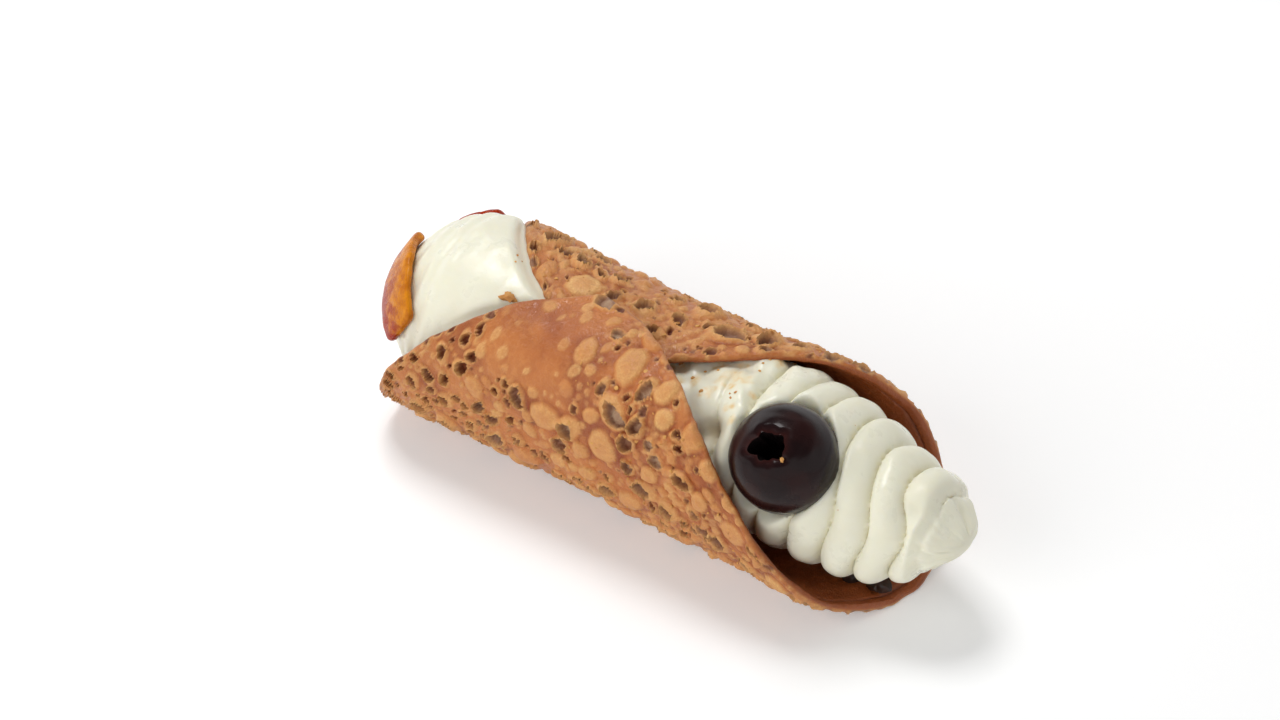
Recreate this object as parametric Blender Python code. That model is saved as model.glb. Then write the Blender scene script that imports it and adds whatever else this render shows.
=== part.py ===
"""A filled cannolo lying on its side: a fried dough disc wrapped into a tube, with piped cream through it.

The tube runs along X, with the cherry at its +X mouth and the candied peel at its -X mouth.
The near flap of the wrapped dough (-Y) lies over the far flap (+Y) along the top.
The origin is at the bottom centre of the whole part, and +Z is up. All lengths are in metres.
"""

import math

import bpy
from mathutils import Vector

# Dough disc, measured flat before it is wrapped: how far it reaches from the tube's middle.
CHERRY_END = 0.0657
PEEL_END = -0.0562
NEAR_REACH = 0.0714
NEAR_PEAK = -0.0097
FAR_REACH = 0.0733
FAR_PEAK = 0.0022

# Roundness of the disc's outline beyond each peak: the power along the tube and the power across it.
NEAR_CHERRY_CORNER = (1.71, 1.71)
NEAR_PEEL_CORNER = (0.85, 3.47)
FAR_CHERRY_CORNER = (1.51, 1.51)
FAR_PEEL_CORNER = (3.0, 1.51)

# The tube that the disc is wrapped into.
TUBE_RADIUS = 0.0218
TUBE_SQUASH = 0.897
FLARE_CHERRY_END = 0.23
FLARE_PEEL_END = 0.062
BASE_TURN = math.radians(-12)
WALL = 0.0030
RIM_WALL = 0.4
RIM_ROUND = 0.0015
FLAP_LIFT = 0.0060
FLAP_LIFT_START = math.radians(99)
FLAP_LIFT_END = math.radians(162)
WAVE = 0.0005
WAVE_LENGTH = 0.0170
BASE_CALM = math.radians(40)

# Place of the tube's middle in the part. The height leaves a narrow flat under the tube, which it rests on.
PLACE = Vector((-0.00866, -0.0005, 0.0203))

# Mesh fineness. Crowding is how far the rows and columns draw together towards the rims.
COLUMN_CROWDING = 0.35
ROW_CROWDING = 0.7
DOUGH_ROWS = 38
DOUGH_COLUMNS = 34
CREAM_SPOKES = 30
DOME_STEPS = 9
CORE_STEPS = 9
TAIL_STEPS = 4

# Piped cream: the rope wound round the +X mouth, and the smooth dome at the -X mouth.
CREAM_RADIUS = 0.0183
CREAM_RISE = 0.0028
DOME_CENTRE = -0.0400
DOME_RADIUS = 0.0203
DOME_RISE = 0.0035
RIM_OVERHANG = 0.0100
RIM_BLEND = 0.0050
ROPE_START = 0.0230
ROPE_PITCH = 0.0072
ROPE_TURNS = 7
ROPE_DEPTH = 0.0021
ROPE_STEPS = 5
ROPE_END = ROPE_START + ROPE_TURNS * ROPE_PITCH
TAPER_START = 0.0380
TAPER_END = 0.0630
TAPER_RADIUS = 0.0114
TAIL_LENGTH = 0.0064
TAIL_RADIUS = 0.0088
TAIL_RISE = 0.0014

# Cherry and its pit hole.
CHERRY_RADIUS = 0.0114
CHERRY_PLACE = Vector((0.0436, -0.0120, 0.0140))
PIT_TURN = (math.radians(40), math.radians(-84))
PIT_RADIUS = 0.0035
PIT_DEPTH = 0.0100
PIT_LIP = 0.0006
PIT_FLOOR = 0.35
PIT_MOUTH = 0.9
PIT_RINGS = 3
CHERRY_RINGS = 12
CHERRY_SPOKES = 22
SEAT_SPOKES = 24

# Candied peel strips, as arcs laid over the dome.
PEEL_END_WIDTH = 0.0108
PEEL_FAR_WIDTH = 0.0085
PEEL_THICK = 0.0025
PEEL_FLATNESS = 0.35
PEEL_STEPS = 14
PEEL_SECTION = ((-1, 0.75), (-0.7, 1), (0.7, 1), (1, 0.75), (1, 0), (0.5, 0), (-0.5, 0), (-1, 0))
PEEL_END_FROM = Vector((-0.42, -0.89, 0.17))
PEEL_END_TO = Vector((-0.90, 0.00, 0.44))
PEEL_FAR_FROM = Vector((-0.42, 0.82, 0.42))
PEEL_FAR_TO = Vector((-0.88, 0.44, 0.14))

CLEARANCE = 0.0004
SHARP_ANGLE = math.radians(50)


def material(name, colour, roughness):
    """A plain Principled finish."""
    made = bpy.data.materials.new(name)
    made.use_nodes = True
    shader = made.node_tree.nodes["Principled BSDF"]
    shader.inputs["Base Color"].default_value = (*colour, 1.0)
    shader.inputs["Roughness"].default_value = roughness
    shader.inputs["Metallic"].default_value = 0.0
    return made


def add_object(name, points, faces, finish):
    """A smooth-shaded object whose mesh is already in the part's frame."""
    mesh = bpy.data.meshes.new(name)
    mesh.from_pydata([tuple(point + PLACE) for point in points], [], faces)
    mesh.validate()
    mesh.shade_smooth()
    mesh.set_sharp_from_angle(angle=SHARP_ANGLE)
    mesh.materials.append(finish)
    made = bpy.data.objects.new(name, mesh)
    bpy.context.scene.collection.objects.link(made)
    return made


def loft(start, rings, end):
    """Faces and points of a closed skin: a start point, equal rings round an axis, and an end point."""
    count = len(rings[0])
    points = [start] + [point for ring in rings for point in ring] + [end]
    last = len(points) - 1
    faces = []
    for j in range(count):
        k = (j + 1) % count
        faces.append((0, 1 + j, 1 + k))
        for i in range(len(rings) - 1):
            low = 1 + i * count
            high = low + count
            faces.append((low + j, high + j, high + k, low + k))
        faces.append((last, last - count + k, last - count + j))
    return points, faces


def smooth_step(value):
    """0 below 0, 1 above 1, and a smooth rise between."""
    value = min(1.0, max(0.0, value))
    return value * value * (3.0 - 2.0 * value)


# Dough.


def reach(x, peak, width, cherry_corner, peel_corner):
    """How far one half of the flat disc reaches from the centre line at x."""
    end, corner = (CHERRY_END, cherry_corner) if x > peak else (PEEL_END, peel_corner)
    along = (x - peak) / (end - peak)
    return width * max(0.0, 1.0 - along ** corner[0]) ** (1.0 / corner[1])


def near_reach(x):
    return reach(x, NEAR_PEAK, NEAR_REACH, NEAR_CHERRY_CORNER, NEAR_PEEL_CORNER)


def far_reach(x):
    return reach(x, FAR_PEAK, FAR_REACH, FAR_CHERRY_CORNER, FAR_PEEL_CORNER)


def tube_radius(x):
    """Middle radius of the wall at x, which flares towards both mouths."""
    end, flare = (CHERRY_END, FLARE_CHERRY_END) if x > 0 else (PEEL_END, FLARE_PEEL_END)
    return TUBE_RADIUS * (1.0 + flare * (x / end) ** 2)


def dough_point(x, across, offset):
    """A point of the wrapped dough: across is the length along the sheet, offset is out from mid-wall."""
    radius = tube_radius(x)
    turn = across / radius
    lift = FLAP_LIFT * smooth_step((turn - FLAP_LIFT_START) / (FLAP_LIFT_END - FLAP_LIFT_START))
    angle = turn + BASE_TURN
    wave = WAVE * math.sin(math.tau * x / WAVE_LENGTH) * math.sin(math.tau * across / WAVE_LENGTH)
    wave *= smooth_step(abs(angle) / BASE_CALM)
    out = radius + lift + wave + offset
    height = (radius - TUBE_RADIUS - out * math.cos(angle)) * TUBE_SQUASH
    return Vector((x, -out * math.sin(angle), max(height, -PLACE.z)))


def half_wall(x, from_rim):
    """Half the wall, thinner where it rounds over at a rim or a tip."""
    tip = min(CHERRY_END - x, x - PEEL_END)
    inward = min(1.0, max(0.0, from_rim) / RIM_ROUND, max(0.0, tip) / RIM_ROUND)
    return 0.5 * WALL * (RIM_WALL + (1.0 - RIM_WALL) * math.sqrt(inward))


def dough_section(x):
    """One closed loop across the sheet: out along its outer face and back along its inner face."""
    near = near_reach(x)
    far = far_reach(x)
    outer, inner = [], []
    for j in range(DOUGH_COLUMNS):
        part = 0.5 - 0.5 * math.cos(math.pi * j / (DOUGH_COLUMNS - 1))
        part = COLUMN_CROWDING * part + (1.0 - COLUMN_CROWDING) * j / (DOUGH_COLUMNS - 1)
        across = part * (near + far) - far
        half = half_wall(x, min(near - across, across + far))
        outer.append(dough_point(x, across, half))
        inner.append(dough_point(x, across, -half))
    return outer + inner[::-1]


def make_shell(finish):
    """The fried dough as one sheet, its two flaps lapped along the top."""
    rows = []
    middle, half = 0.5 * (CHERRY_END + PEEL_END), 0.5 * (CHERRY_END - PEEL_END)
    for i in range(1, DOUGH_ROWS):
        even = 2.0 * i / DOUGH_ROWS - 1.0
        crowded = -math.cos(math.pi * i / DOUGH_ROWS)
        rows.append(dough_section(middle + half * (even + ROW_CROWDING * (crowded - even))))
    points, faces = loft(dough_point(PEEL_END, 0.0, 0.0), rows, dough_point(CHERRY_END, 0.0, 0.0))
    return add_object("shell", points, faces, finish)


# Cream.


def rope_relief(x):
    """How far the wound rope sinks at x: nothing on a crest, ROPE_DEPTH in the crease between turns."""
    if not ROPE_START <= x <= ROPE_END:
        return 0.0
    along = 2.0 * (((x - ROPE_START) / ROPE_PITCH) % 1.0) - 1.0
    return ROPE_DEPTH * (1.0 - math.sqrt(1.0 - along * along))


def cream_radius(x):
    """Crest radius of the cream: a dome at the peel end, an even core, and a taper at the cherry end."""
    if x < DOME_CENTRE:
        along = (DOME_CENTRE - x) / DOME_RADIUS
        return DOME_RADIUS * math.sqrt(max(0.0, 1.0 - along ** 2))
    if x < TAPER_START:
        return DOME_RADIUS + (CREAM_RADIUS - DOME_RADIUS) * smooth_step((x - DOME_CENTRE) / TAPER_START)
    if x < ROPE_END:
        along = (x - TAPER_START) / (ROPE_END - TAPER_START)
        return CREAM_RADIUS + (TAPER_RADIUS - CREAM_RADIUS) * along ** 1.7
    return TAIL_RADIUS * math.sqrt(max(0.0, 1.0 - ((x - ROPE_END) / TAIL_LENGTH) ** 1.4))


def cream_centre(x):
    """Middle of the cream at x: it stands high in both open mouths, and its tail turns up a little."""
    dome = DOME_RISE * smooth_step(x / DOME_CENTRE)
    rise_out = smooth_step((x - TAPER_START) / (TAPER_END - TAPER_START))
    rope = CREAM_RISE * (smooth_step(x / ROPE_START - 0.5) - rise_out)
    tail = TAIL_RISE * smooth_step((x - TAPER_END) / (ROPE_END - TAPER_END))
    return Vector((x, 0.0, dome + rope + tail))


def covered(x, angle):
    """1 where the dough backs the cream, falling to 0 past a rim that the cream swells over."""
    radius = tube_radius(x)
    near = near_reach(x) + RIM_OVERHANG - (angle - BASE_TURN) * radius
    far = far_reach(x) + RIM_OVERHANG - (math.tau - angle + BASE_TURN) * radius
    return max(smooth_step(near / RIM_BLEND), smooth_step(far / RIM_BLEND))


def inside_wall(x, angle, radius, centre):
    """Keeps the cream inside the wrapped dough wherever the dough backs it."""
    across = centre.y - radius * math.sin(angle)
    up = centre.z - radius * math.cos(angle)
    round_up = up / TUBE_SQUASH - (tube_radius(x) - TUBE_RADIUS)
    room = tube_radius(x) - WAVE - 0.5 * WALL - 2.0 * CLEARANCE
    kept = min(1.0, room / math.hypot(across, round_up))
    return radius * (1.0 - covered(x, math.atan2(-across, -up) % math.tau) * (1.0 - kept))


def cream_ring(x):
    centre = cream_centre(x)
    radius = cream_radius(x) - rope_relief(x)
    ring = []
    for j in range(CREAM_SPOKES):
        angle = math.tau * j / CREAM_SPOKES
        kept = inside_wall(x, angle, radius, centre)
        ring.append(centre + Vector((0.0, -kept * math.sin(angle), -kept * math.cos(angle))))
    return ring


def press_in_cherry(cream):
    """Cuts the cherry's seat out of the cream, a clearance bigger than the cherry."""
    bpy.ops.mesh.primitive_uv_sphere_add(
        segments=SEAT_SPOKES,
        ring_count=SEAT_SPOKES // 2,
        radius=(CHERRY_RADIUS + CLEARANCE) / math.cos(math.pi / SEAT_SPOKES),
        location=CHERRY_PLACE + PLACE,
    )
    seat = bpy.context.object
    seat.name = "cherry_seat"
    seat.hide_render = True
    seat.display_type = "WIRE"
    cut = cream.modifiers.new("cherry_seat", "BOOLEAN")
    cut.operation = "DIFFERENCE"
    cut.solver = "EXACT"
    cut.object = seat


def make_cream(finish):
    """One mass of cream from the dome, through the tube, to the tail of the wound rope."""
    quarter = math.pi / 2
    stations = [DOME_CENTRE - DOME_RADIUS * math.cos(quarter * i / DOME_STEPS) for i in range(1, DOME_STEPS)]
    stations += [DOME_CENTRE + (ROPE_START - DOME_CENTRE) * i / CORE_STEPS for i in range(CORE_STEPS)]
    stations += [ROPE_START + ROPE_PITCH * i / ROPE_STEPS for i in range(ROPE_TURNS * ROPE_STEPS + 1)]
    stations += [ROPE_END + TAIL_LENGTH * i / TAIL_STEPS for i in range(1, TAIL_STEPS)]
    start = cream_centre(DOME_CENTRE - DOME_RADIUS)
    end = cream_centre(ROPE_END + TAIL_LENGTH)
    points, faces = loft(start, [cream_ring(x) for x in stations], end)
    press_in_cherry(add_object("cream", points, faces, finish))


# Cherry.


def make_cherry(finish):
    """A candied cherry with the open pit hole on its upper side."""
    pole_turn = math.asin(PIT_RADIUS / CHERRY_RADIUS)
    rings = []
    lip_height = CHERRY_RADIUS * math.cos(pole_turn) - PIT_LIP
    for i in range(1, PIT_RINGS + 1):
        part = i / PIT_RINGS
        depth = PIT_DEPTH * math.sin(math.pi / 2 * (1.0 - part))
        width = PIT_FLOOR + (PIT_MOUTH - PIT_FLOOR) * part
        rings.append((PIT_RADIUS * width, lip_height - depth))
    for i in range(CHERRY_RINGS):
        turn = pole_turn + (math.pi - pole_turn) * i / CHERRY_RINGS
        rings.append((CHERRY_RADIUS * math.sin(turn), CHERRY_RADIUS * math.cos(turn)))
    loops = []
    for radius, height in rings:
        spokes = [math.tau * j / CHERRY_SPOKES for j in range(CHERRY_SPOKES)]
        loops.append([Vector((radius * math.cos(a), radius * math.sin(a), height)) for a in spokes])
    bottom_of_pit = Vector((0.0, 0.0, CHERRY_RADIUS - PIT_DEPTH - PIT_LIP))
    points, faces = loft(bottom_of_pit, loops, Vector((0.0, 0.0, -CHERRY_RADIUS)))
    tilt = Vector((0.0, 0.0, 1.0)).rotation_difference(pit_axis())
    return add_object("cherry", [tilt @ point + CHERRY_PLACE for point in points], faces, finish)


def pit_axis():
    """The direction that the pit hole opens towards."""
    lean, turn = PIT_TURN
    return Vector((math.sin(lean) * math.cos(turn), math.sin(lean) * math.sin(turn), math.cos(lean)))


# Candied peel.


def make_peel(name, start, end, width, finish):
    """A strip of peel laid over the dome along the arc from one direction to another."""
    start, end = start.normalized(), end.normalized()
    centre = cream_centre(DOME_CENTRE)
    across = start.cross(end).normalized()
    loops = []
    for i in range(PEEL_STEPS + 1):
        out = start.slerp(end, i / PEEL_STEPS)
        section = []
        for side, level in PEEL_SECTION:
            tilt = side * 0.5 * width / DOME_RADIUS
            base = out * math.cos(tilt) + across * math.sin(tilt)
            stiff = PEEL_FLATNESS * DOME_RADIUS * (1.0 / math.cos(tilt) - 1.0)
            section.append(centre + base * (DOME_RADIUS + CLEARANCE + stiff + level * PEEL_THICK))
        loops.append(section)
    first = sum(loops[0], Vector()) / len(loops[0])
    last = sum(loops[-1], Vector()) / len(loops[-1])
    points, faces = loft(first, loops, last)
    return add_object(name, points, faces, finish)


for existing in list(bpy.data.objects):
    bpy.data.objects.remove(existing)

make_shell(material("fried_dough", (0.47, 0.19, 0.075), 0.55))
make_cream(material("whipped_cream", (0.88, 0.86, 0.75), 0.35))
make_cherry(material("candied_cherry", (0.022, 0.008, 0.008), 0.15))
candied_peel = material("candied_peel", (0.48, 0.10, 0.012), 0.3)
make_peel("peel_end", PEEL_END_FROM, PEEL_END_TO, PEEL_END_WIDTH, candied_peel)
make_peel("peel_far", PEEL_FAR_FROM, PEEL_FAR_TO, PEEL_FAR_WIDTH, candied_peel)
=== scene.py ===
from math import cos, pi, radians, sin, tau

import bpy
import numpy as np
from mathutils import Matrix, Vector, kdtree


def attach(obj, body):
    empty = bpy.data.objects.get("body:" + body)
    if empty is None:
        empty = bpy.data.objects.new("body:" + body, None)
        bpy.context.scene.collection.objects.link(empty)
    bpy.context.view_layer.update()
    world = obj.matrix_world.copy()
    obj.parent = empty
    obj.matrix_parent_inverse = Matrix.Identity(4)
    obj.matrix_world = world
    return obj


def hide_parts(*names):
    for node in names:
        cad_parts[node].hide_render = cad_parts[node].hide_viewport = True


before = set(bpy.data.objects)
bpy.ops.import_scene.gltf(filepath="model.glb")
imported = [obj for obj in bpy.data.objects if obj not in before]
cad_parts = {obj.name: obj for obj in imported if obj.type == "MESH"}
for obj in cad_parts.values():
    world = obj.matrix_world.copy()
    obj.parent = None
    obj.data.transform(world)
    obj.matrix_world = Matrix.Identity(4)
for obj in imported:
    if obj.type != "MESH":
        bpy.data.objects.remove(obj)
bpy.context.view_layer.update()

# The fried shell.
# A sheet of dough about 3 mm thick, wrapped round a tube so that the near flap lies over the far one, and
# deep-fried until it blisters. Some blisters stay closed and pale. Others have burst and show their crumb.

rng = np.random.default_rng(11)

PLACE = np.array((-0.00866, -0.0005, 0.0203))
CHERRY_END = 0.0657
PEEL_END = -0.0562
NEAR_REACH = 0.0714
NEAR_PEAK = -0.0097
FAR_REACH = 0.0733
FAR_PEAK = 0.0022
NEAR_CORNERS = ((1.71, 1.71), (0.85, 3.47))
FAR_CORNERS = ((1.51, 1.51), (3.0, 1.51))
TUBE_RADIUS = 0.0218
TUBE_SQUASH = 0.897
FLARE_CHERRY_END = 0.23
FLARE_PEEL_END = 0.062
BASE_TURN = radians(-12)
WALL = 0.0030
FLAP_LIFT = 0.0060
FLAP_LIFT_START = radians(99)
FLAP_LIFT_END = radians(162)
FLAP_REST = 0.24
FLAP_REST_REACH = 0.013


def smooth(value):
    """0 up to 1 with an even start and end, and flat outside."""
    value = np.clip(value, 0.0, 1.0)
    return value * value * (3.0 - 2.0 * value)


def wander(shape, step):
    """A smooth random field between -1 and 1, with a new random value every few cells."""
    knots = rng.uniform(-1.0, 1.0, [int(n / step) + 2 for n in shape])
    place = [np.arange(n) / step for n in shape]
    low = [p.astype(int) for p in place]
    part = [smooth(p - l) for p, l in zip(place, low)]
    rows = knots[low[0]] * (1.0 - part[0][:, None]) + knots[low[0] + 1] * part[0][:, None]
    return rows[:, low[1]] * (1.0 - part[1]) + rows[:, low[1] + 1] * part[1]


def reach(x, peak, width, corners):
    """How far a flap reaches round the tube at x."""
    cherry_side = x > peak
    end = np.where(cherry_side, CHERRY_END, PEEL_END)
    power = np.where(cherry_side, corners[0][0], corners[1][0])
    root = np.where(cherry_side, corners[0][1], corners[1][1])
    along = np.clip((x - peak) / (end - peak), 0.0, 1.0)
    return width * (1.0 - along ** power) ** (1.0 / root)


def near_reach(x):
    return reach(x, NEAR_PEAK, NEAR_REACH, NEAR_CORNERS)


def far_reach(x):
    return reach(x, FAR_PEAK, FAR_REACH, FAR_CORNERS)


def tube_radius(x):
    end = np.where(x > 0.0, CHERRY_END, PEEL_END)
    flare = np.where(x > 0.0, FLARE_CHERRY_END, FLARE_PEEL_END)
    return TUBE_RADIUS * (1.0 + flare * (x / end) ** 2)


def dough_point(x, across, offset, rest):
    """A point of the wrapped sheet, offset outwards from mid-wall. rest lowers the lifted flap."""
    radius = tube_radius(x)
    turn = across / radius
    lift = FLAP_LIFT * smooth((turn - FLAP_LIFT_START) / (FLAP_LIFT_END - FLAP_LIFT_START))
    out = radius + lift * (1.0 - rest) + offset
    angle = turn + BASE_TURN
    height = (radius - TUBE_RADIUS - out * np.cos(angle)) * TUBE_SQUASH
    return np.stack((x, -out * np.sin(angle), np.maximum(height, -PLACE[2])), -1) + PLACE


CELL = 0.00025
SHEET_LOW = (-0.0600, -0.0770)
SHEET_CELLS = (524, 622)
sheet_x = (SHEET_LOW[0] + CELL * np.arange(SHEET_CELLS[0]))[:, None]
sheet_s = (SHEET_LOW[1] + CELL * np.arange(SHEET_CELLS[1]))[None, :]
to_near_rim = near_reach(sheet_x) - sheet_s
# How many cells make a millimetre.
MM = 0.001 / CELL

# How crumbly the fried skin is: most on the far flap and towards the cherry mouth.
crumbly = np.maximum(
    smooth(1.0 - to_near_rim / 0.020) * smooth((sheet_x + 0.008) / 0.012),
    0.8 * smooth(0.5 - sheet_s / 0.010),
)
crumbly = np.maximum(crumbly, smooth((sheet_x - 0.004) / 0.020) * 0.85)
crumbly = crumbly * smooth(0.62 + 1.1 * wander(SHEET_CELLS, 4.5 * MM))
grain = wander(SHEET_CELLS, 0.7 * MM) + 0.7 * wander(SHEET_CELLS, 1.4 * MM)
relief = 0.00040 * wander(SHEET_CELLS, 10 * MM) + 0.00016 * wander(SHEET_CELLS, 3.2 * MM)
relief += 0.00004 * wander(SHEET_CELLS, 1.1 * MM) + 0.00020 * crumbly * grain
pale = 0.55 * crumbly * smooth(0.35 + 0.9 * grain)
crumb = np.zeros(SHEET_CELLS)
# Painted shade: the low cells of the grain, its pores and crevices, are painted dark.
painted_pore_shade = 0.75 * crumbly * smooth(-1.1 - 1.25 * grain)


def ragged(angle, amount):
    """An uneven closed outline, as a factor of its radius."""
    turns = rng.uniform(0.0, tau, 3)
    coarse = 0.55 * np.sin(2 * angle + turns[0]) + 0.4 * np.sin(3 * angle + turns[1])
    return 1.0 + amount * (coarse + 0.3 * np.sin(7 * angle + turns[2]))


def blister(x, s, radius, height, opening, depth, crumb_share):
    """Raises one bubble on the sheet, and tears it open if it has burst."""
    span = int(1.5 * radius / CELL) + 2
    row = int((x - SHEET_LOW[0]) / CELL)
    column = int((s - SHEET_LOW[1]) / CELL)
    rows = slice(max(row - span, 0), row + span)
    columns = slice(max(column - span, 0), column + span)
    if relief[rows, columns].size == 0:
        return
    lean = rng.uniform(0.0, tau)
    stretch = rng.uniform(1.0, 1.28)
    dx = sheet_x[rows] - x
    ds = sheet_s[:, columns] - s
    u = (dx * cos(lean) + ds * sin(lean)) / (radius * stretch)
    v = (ds * cos(lean) - dx * sin(lean)) / (radius / stretch)
    from_middle = np.hypot(u, v) * ragged(np.arctan2(v, u), 0.10)
    dome = np.clip(1.0 - from_middle ** 2, 0.0, 1.0) ** 0.62
    skin = smooth((1.06 - from_middle) / 0.30) * (0.55 + 0.45 * np.exp(-((from_middle - 0.75) / 0.25) ** 2))
    rise = height * dome - 0.18 * height * np.exp(-((from_middle - 1.14) / 0.12) ** 2)
    relief_here = relief[rows, columns]
    if opening == 0.0:
        relief_here += rise
        pale[rows, columns] = np.maximum(pale[rows, columns], skin * rng.uniform(0.10, 0.95))
        return
    shift = rng.uniform(0.0, 0.9 - opening) if opening < 0.9 else 0.0
    way = rng.uniform(0.0, tau)
    u, v = u - shift * cos(way), v - shift * sin(way)
    from_hole = np.hypot(u, v) / opening * ragged(np.arctan2(v, u), 0.22)
    inside = smooth((1.05 - from_hole) / 0.22)
    lip = np.exp(-((from_hole - 1.10) / 0.15) ** 2)
    foot = inside * np.exp(-((from_hole - 0.78) / 0.20) ** 2)
    uneven = 1.0 + 0.35 * grain[rows, columns]
    relief_here *= 1.0 - inside
    relief_here += rise * (1.0 - inside) + (0.00022 + 0.36 * height) * lip - depth * inside * uneven
    keep = 1.0 - inside
    pale[rows, columns] = np.maximum(pale[rows, columns] * keep, np.maximum(lip, 0.6 * skin) * keep)
    crumb[rows, columns] = np.maximum(crumb[rows, columns] * keep, inside * crumb_share)
    # Painted shade: the open hole is painted dark where no crumb shows, and darker at the foot of its wall.
    dark = inside * (1.0 - crumb_share) + foot * 0.75 * crumb_share
    painted_pore_shade[rows, columns] = np.maximum(painted_pore_shade[rows, columns] * keep, dark)


# Blister sizes, the big ones first: how many are tried, smallest and largest radius, share that has burst,
# and height to radius.
BLISTER_SIZES = (
    (70, 0.0028, 0.0038, 0.70, 0.30),
    (900, 0.0016, 0.0026, 0.46, 0.44),
    (2600, 0.0009, 0.0015, 0.42, 0.52),
    (4200, 0.0004, 0.0008, 0.25, 0.55),
)
CALM_MIDDLE = (-0.0150, 0.0600)
CALM_SIZE = (0.0200, 0.0120)
CALM_CLEARS = 0.90
CRATER_END = -0.0270
CRATER_SIDE = 0.020
CRATER_LARGEST = 0.0022
DEEPEST_HOLE = 0.0013
BLISTER_SPACING = 0.88
taken = np.zeros((0, 3))
for count, smallest, largest, burst_share, steepness in BLISTER_SIZES:
    for _ in range(count):
        x = rng.uniform(PEEL_END + 0.001, CHERRY_END - 0.001)
        s = rng.uniform(-far_reach(np.array(x)), near_reach(np.array(x)))
        radius = rng.uniform(smallest, largest)
        burst = rng.uniform() < burst_share
        from_calm = np.hypot((x - CALM_MIDDLE[0]) / CALM_SIZE[0], (s - CALM_MIDDLE[1]) / CALM_SIZE[1])
        calm = 1.0 - smooth(from_calm - 0.3)
        if rng.uniform() < CALM_CLEARS * calm:
            continue
        room_needed = BLISTER_SPACING * (taken[:, 2] + radius)
        if np.any(np.hypot(taken[:, 0] - x, taken[:, 1] - s) < room_needed):
            continue
        crater = x < CRATER_END and s > CRATER_SIDE
        if crater and radius > CRATER_LARGEST:
            radius *= 0.85
        taken = np.vstack((taken, (x, s, radius)))
        height = steepness * radius * rng.uniform(0.7, 1.2) * (1.0 - 0.6 * calm)
        if crater and radius > 0.0008:
            opening = rng.uniform(0.50, 0.66)
            blister(x, s, radius, 0.34 * radius, opening, DEEPEST_HOLE, rng.uniform(0.0, 0.5))
        elif burst and calm < 0.4:
            opening = rng.uniform(0.45, 0.82)
            share = rng.uniform(0.55, 1.0) if radius > 0.0016 else rng.uniform(0.0, 0.5)
            blister(x, s, radius, height, opening, min(DEEPEST_HOLE, 0.5 * radius + 0.0003), share)
        else:
            blister(x, s, radius, height, 0.0, 0.0, 0.0)
relief += 0.00003 * grain


def sample(field, x, s):
    """Reads a field of the sheet between its cells."""
    a = np.clip((x - SHEET_LOW[0]) / CELL, 0.0, SHEET_CELLS[0] - 1.001)
    b = np.clip((s - SHEET_LOW[1]) / CELL, 0.0, SHEET_CELLS[1] - 1.001)
    i, j = a.astype(int), b.astype(int)
    a, b = a - i, b - j
    low = field[i, j] * (1.0 - b) + field[i, j + 1] * b
    return low * (1.0 - a) + (field[i + 1, j] * (1.0 - b) + field[i + 1, j + 1] * b) * a


# The sheet's rows: even along the tube, and closer at its two ends, where the outline turns back.
ROW_STEP = 0.00040
TIP = 0.0022
peel_tip = PEEL_END + TIP * np.linspace(0.0, 1.0, 31) ** 3
cherry_tip = CHERRY_END - TIP * np.linspace(1.0, 0.0, 17) ** 3
row_x = np.concatenate((peel_tip[:-1], np.arange(PEEL_END + TIP, CHERRY_END - TIP, ROW_STEP), cherry_tip))

# The cut edge of the sheet as one closed line, and how it wanders.
EDGE_STEP = 0.00015
near_cut = np.stack((row_x, near_reach(row_x)), -1)
far_cut = np.stack((row_x, -far_reach(row_x)), -1)
edge = np.concatenate((near_cut, far_cut[-2:0:-1]))
gone = np.concatenate(((0.0,), np.cumsum(np.hypot(*np.diff(edge, axis=0).T))))
edge_at = np.arange(0.0, gone[-1], EDGE_STEP)
edge = np.stack((np.interp(edge_at, gone, edge[:, 0]), np.interp(edge_at, gone, edge[:, 1])), -1)
tangent = np.gradient(edge, axis=0)
tangent /= np.linalg.norm(tangent, axis=1)[:, None]
outward = np.stack((-tangent[:, 1], tangent[:, 0]), -1)
# Depth and length of the waves of the cut, and of its lift off the tube.
EDGE_WAVES = ((0.00045, 0.0130), (0.00025, 0.0045), (0.00014, 0.0014))
FLUTTER = (0.0004, 0.011)
ease_in = smooth(np.minimum(np.arange(len(edge)), np.arange(len(edge))[::-1]) / 40.0)
edge_wander = sum(a * wander((len(edge), 1), w / EDGE_STEP)[:, 0] for a, w in EDGE_WAVES) * ease_in
edge_flutter = (FLUTTER[0] * wander((len(edge), 1), FLUTTER[1] / EDGE_STEP)[:, 0]) * ease_in
edge_tree = kdtree.KDTree(len(edge))
for i, place in enumerate(edge):
    edge_tree.insert((place[0], place[1], 0.0), i)
edge_tree.balance()

RIM_CURVE = 0.0008
RIM_WALL = 0.0019
RIM_REACH = 0.0080
OUTER_COLUMNS = 176
RIM_COLUMNS = 5
INNER_EDGE_COLUMNS = 19
INNER_COLUMNS = 36
INNER_EDGE = 0.0075
GROOVE_PLACE = 0.0023
GROOVE_WIDTH = 0.0003
GROOVE_RISE = 0.00030
RISE_SHOWN = 0.0016
inner_waves = wander(SHEET_CELLS, 5 * MM) + 0.5 * wander(SHEET_CELLS, 1.8 * MM)


def grid_piece(name, points, uv):
    """A grid primitive whose rows and columns are moved to the points given."""
    rows, columns = points.shape[:2]
    bpy.ops.object.select_all(action="DESELECT")
    bpy.ops.mesh.primitive_grid_add(x_subdivisions=columns - 1, y_subdivisions=rows - 1, size=1.0)
    piece = bpy.context.object
    piece.name = name
    mesh = piece.data
    mesh.vertices.foreach_set("co", points.reshape(-1))
    corner = np.empty(len(mesh.loops), dtype=np.int32)
    mesh.loops.foreach_get("vertex_index", corner)
    mesh.uv_layers[0].name = "OFBake"
    mesh.uv_layers[0].data.foreach_set("uv", uv.reshape(-1, 2)[corner].reshape(-1))
    return piece


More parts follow.
